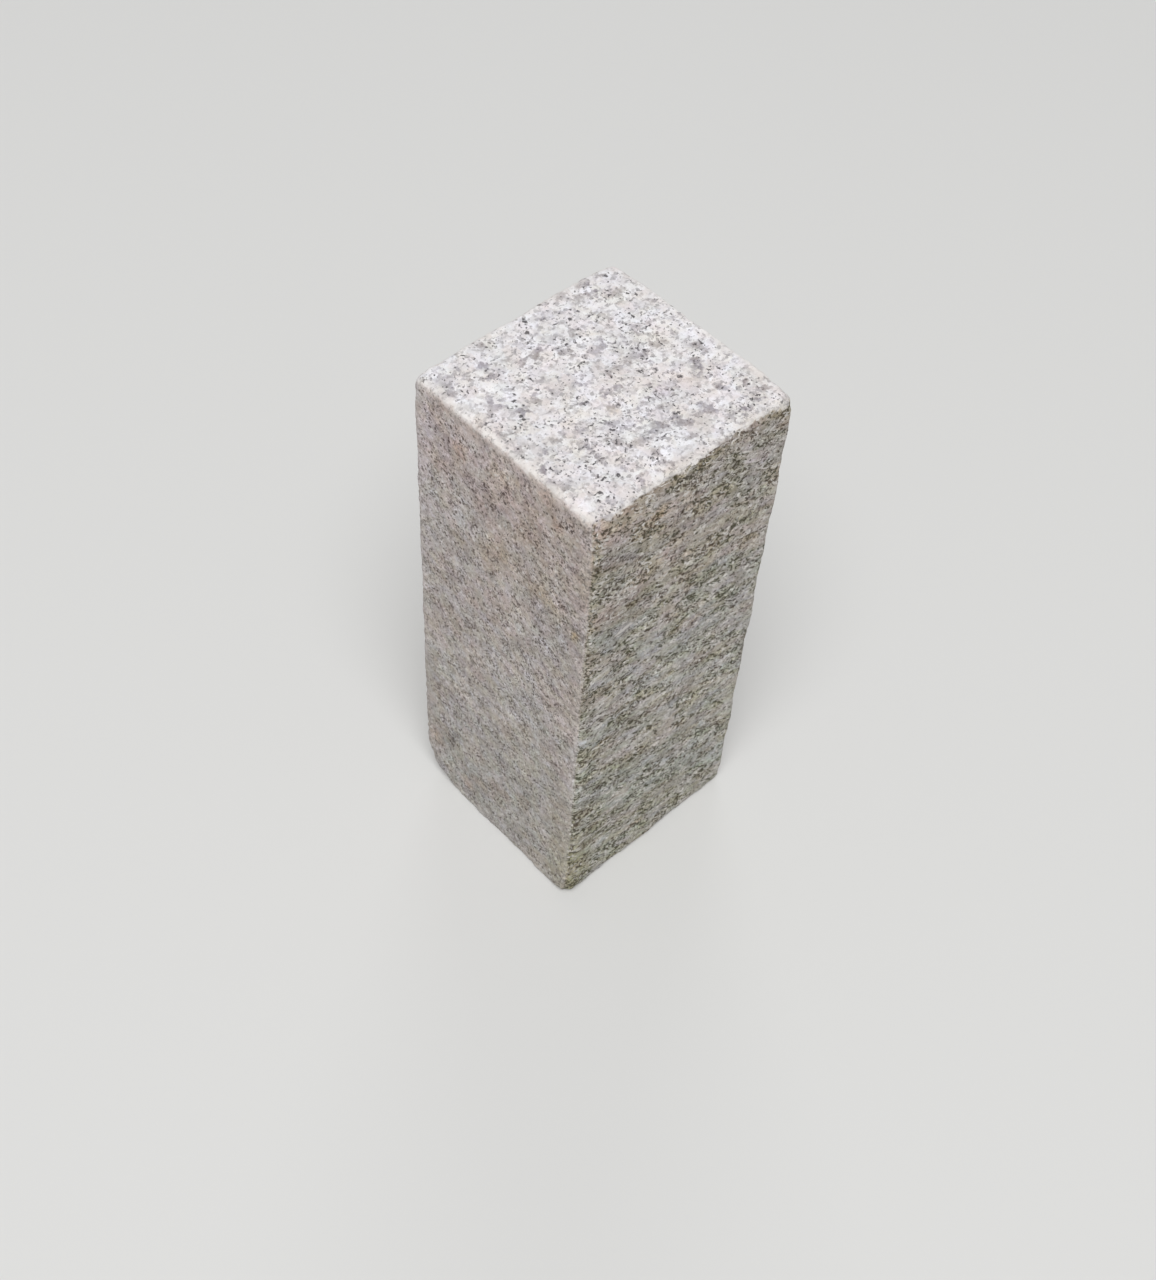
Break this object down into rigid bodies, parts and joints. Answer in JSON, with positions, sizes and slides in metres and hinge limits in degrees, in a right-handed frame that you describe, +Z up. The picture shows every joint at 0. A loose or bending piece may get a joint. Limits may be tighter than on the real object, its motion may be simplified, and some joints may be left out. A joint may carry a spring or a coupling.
{
  "type": "granite palisade",
  "caption": "Square upright granite edging stone, split and pointed on its -Y side, finely dressed elsewhere, with worn arrises and a knocked-off foot corner.",
  "frame": {"origin": "middle of the flat foot that the stone stands on", "axes": "+Z up along the stone, -Y out of its split and pointed side, -X out of the finely dressed side next to it"},
  "size_m": [0.1, 0.098, 0.25],
  "materials": {
    "granite": "matte"
  },
  "bodies": {
    "root": {"granite_palisade": "granite"}
  },
  "joints": []
}
